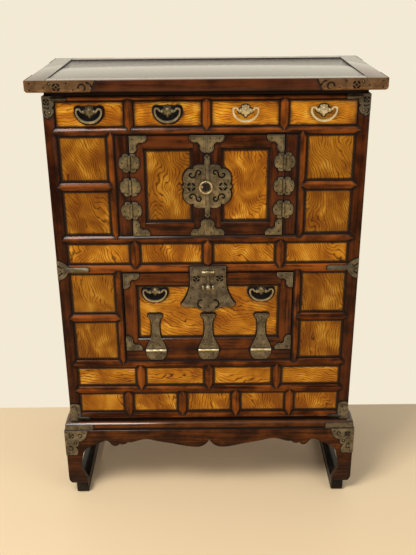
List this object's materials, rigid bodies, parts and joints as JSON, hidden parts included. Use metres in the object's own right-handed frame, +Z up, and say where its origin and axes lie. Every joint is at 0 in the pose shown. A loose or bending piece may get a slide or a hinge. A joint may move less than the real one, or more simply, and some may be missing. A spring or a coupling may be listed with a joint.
{
  "type": "korean two tier chest",
  "caption": "Tall wooden chest on a low stand, with small drawers, a pair of doors above a drop-front trunk, framed burl panels and aged brass fittings.",
  "frame": {"origin": "on the floor under the middle of the top", "axes": "+X to the viewer's right, +Y to the back, +Z up; the doors face -Y"},
  "size_m": [0.794, 0.3928, 1.1059],
  "materials": {
    "frame_wood": "glossy dark red-brown lacquer",
    "panel_wood": "golden burl veneer under clear lacquer",
    "top_wood": "glossy dark lacquer",
    "side_wood": "satin lacquer",
    "inner_wood": "bare pale wood",
    "aged_brass": "dull aged brass",
    "bright_brass": "worn bright brass"
  },
  "bodies": {
    "carcass": {"top_frame": "frame_wood", "top_panel": "top_wood", "top_corner_caps": "aged_brass", "neck_strips": "frame_wood", "corner_posts": "frame_wood", "front_rails": "frame_wood", "row_dividers": "frame_wood", "bay_posts": "frame_wood", "bay_rails": "frame_wood", "row_panels": "panel_wood", "bay_panels": "panel_wood", "side_rails": "frame_wood", "side_panels": "side_wood", "back_rails": "inner_wood", "back_panels": "inner_wood", "door_jambs": "frame_wood", "flap_sill": "frame_wood", "drawer_deck": "inner_wood", "cabinet_floor": "inner_wood", "trunk_floor": "inner_wood", "drawer_guides": "inner_wood", "jamb_hinge_leaves": "aged_brass", "sill_strap_leaves": "aged_brass", "frame_brackets": "aged_brass", "stand_moulding": "frame_wood", "stand_front_apron": "frame_wood", "stand_back_apron": "frame_wood", "stand_side_aprons": "frame_wood", "runners": "frame_wood", "stand_brass": "aged_brass"},
    "drawer_1": {"drawer_1": "panel_wood", "drawer_1_plate": "aged_brass"},
    "drawer_1_bail": {"drawer_1_bail": "aged_brass"},
    "drawer_2": {"drawer_2": "panel_wood", "drawer_2_plate": "aged_brass"},
    "drawer_2_bail": {"drawer_2_bail": "aged_brass"},
    "drawer_3": {"drawer_3": "panel_wood", "drawer_3_plate": "bright_brass"},
    "drawer_3_bail": {"drawer_3_bail": "bright_brass"},
    "drawer_4": {"drawer_4": "panel_wood", "drawer_4_plate": "bright_brass"},
    "drawer_4_bail": {"drawer_4_bail": "bright_brass"},
    "door_left": {"door_left_frame": "frame_wood", "door_left_panel": "panel_wood", "door_left_brass": "aged_brass", "door_left_lock": "aged_brass"},
    "door_right": {"door_right_frame": "frame_wood", "door_right_panel": "panel_wood", "door_right_brass": "aged_brass", "door_right_lock": "aged_brass"},
    "pull_ring": {"pull_ring": "aged_brass"},
    "flap": {"flap_frame": "frame_wood", "flap_panel": "panel_wood", "flap_corner_plates": "aged_brass", "flap_straps": "aged_brass", "flap_lock_plate": "aged_brass", "flap_handle_plates": "aged_brass"},
    "flap_bail_left": {"flap_bail_left": "aged_brass"},
    "flap_bail_right": {"flap_bail_right": "aged_brass"},
    "hasp": {"hasp": "aged_brass"}
  },
  "joints": [
    {"name": "drawer_1_slide", "type": "slide", "parent": "carcass", "child": "drawer_1", "axis": [0, -1, 0], "range_m": [0, 0.23]},
    {"name": "drawer_1_bail_swing", "type": "hinge", "parent": "drawer_1", "child": "drawer_1_bail", "pos_m": [-0.2625, -0.1789, 1.035], "axis": [-1, 0, 0], "range_deg": [0, 80]},
    {"name": "drawer_2_slide", "type": "slide", "parent": "carcass", "child": "drawer_2", "axis": [0, -1, 0], "range_m": [0, 0.23]},
    {"name": "drawer_2_bail_swing", "type": "hinge", "parent": "drawer_2", "child": "drawer_2_bail", "pos_m": [-0.0875, -0.1789, 1.035], "axis": [-1, 0, 0], "range_deg": [0, 80]},
    {"name": "drawer_3_slide", "type": "slide", "parent": "carcass", "child": "drawer_3", "axis": [0, -1, 0], "range_m": [0, 0.23]},
    {"name": "drawer_3_bail_swing", "type": "hinge", "parent": "drawer_3", "child": "drawer_3_bail", "pos_m": [0.0875, -0.1789, 1.035], "axis": [-1, 0, 0], "range_deg": [0, 80]},
    {"name": "drawer_4_slide", "type": "slide", "parent": "carcass", "child": "drawer_4", "axis": [0, -1, 0], "range_m": [0, 0.23]},
    {"name": "drawer_4_bail_swing", "type": "hinge", "parent": "drawer_4", "child": "drawer_4_bail", "pos_m": [0.2625, -0.1789, 1.035], "axis": [-1, 0, 0], "range_deg": [0, 80]},
    {"name": "door_left_hinge", "type": "hinge", "parent": "carcass", "child": "door_left", "pos_m": [-0.1786, -0.1741, 0.8584], "axis": [0, 0, -1], "range_deg": [0, 150]},
    {"name": "door_right_hinge", "type": "hinge", "parent": "carcass", "child": "door_right", "pos_m": [0.1786, -0.1741, 0.8584], "axis": [0, 0, 1], "range_deg": [0, 150]},
    {"name": "pull_ring_swing", "type": "hinge", "parent": "door_left", "child": "pull_ring", "pos_m": [-0.003, -0.1811, 0.8724], "axis": [-1, 0, 0], "range_deg": [0, 85]},
    {"name": "flap_hinge", "type": "hinge", "parent": "carcass", "child": "flap", "pos_m": [0, -0.1741, 0.4296], "axis": [1, 0, 0], "range_deg": [0, 160]},
    {"name": "flap_bail_left_swing", "type": "hinge", "parent": "flap", "child": "flap_bail_left", "pos_m": [-0.131, -0.1769, 0.5933], "axis": [-1, 0, 0], "range_deg": [0, 80]},
    {"name": "flap_bail_right_swing", "type": "hinge", "parent": "flap", "child": "flap_bail_right", "pos_m": [0.131, -0.1769, 0.5933], "axis": [-1, 0, 0], "range_deg": [0, 80]},
    {"name": "hasp_swing", "type": "hinge", "parent": "flap", "child": "hasp", "pos_m": [0, -0.1803, 0.6461], "axis": [-1, 0, 0], "range_deg": [0, 110]}
  ],
  "couplings": [
    {"joint": "door_right_hinge", "follows": "door_left_hinge", "ratio": 1}
  ]
}
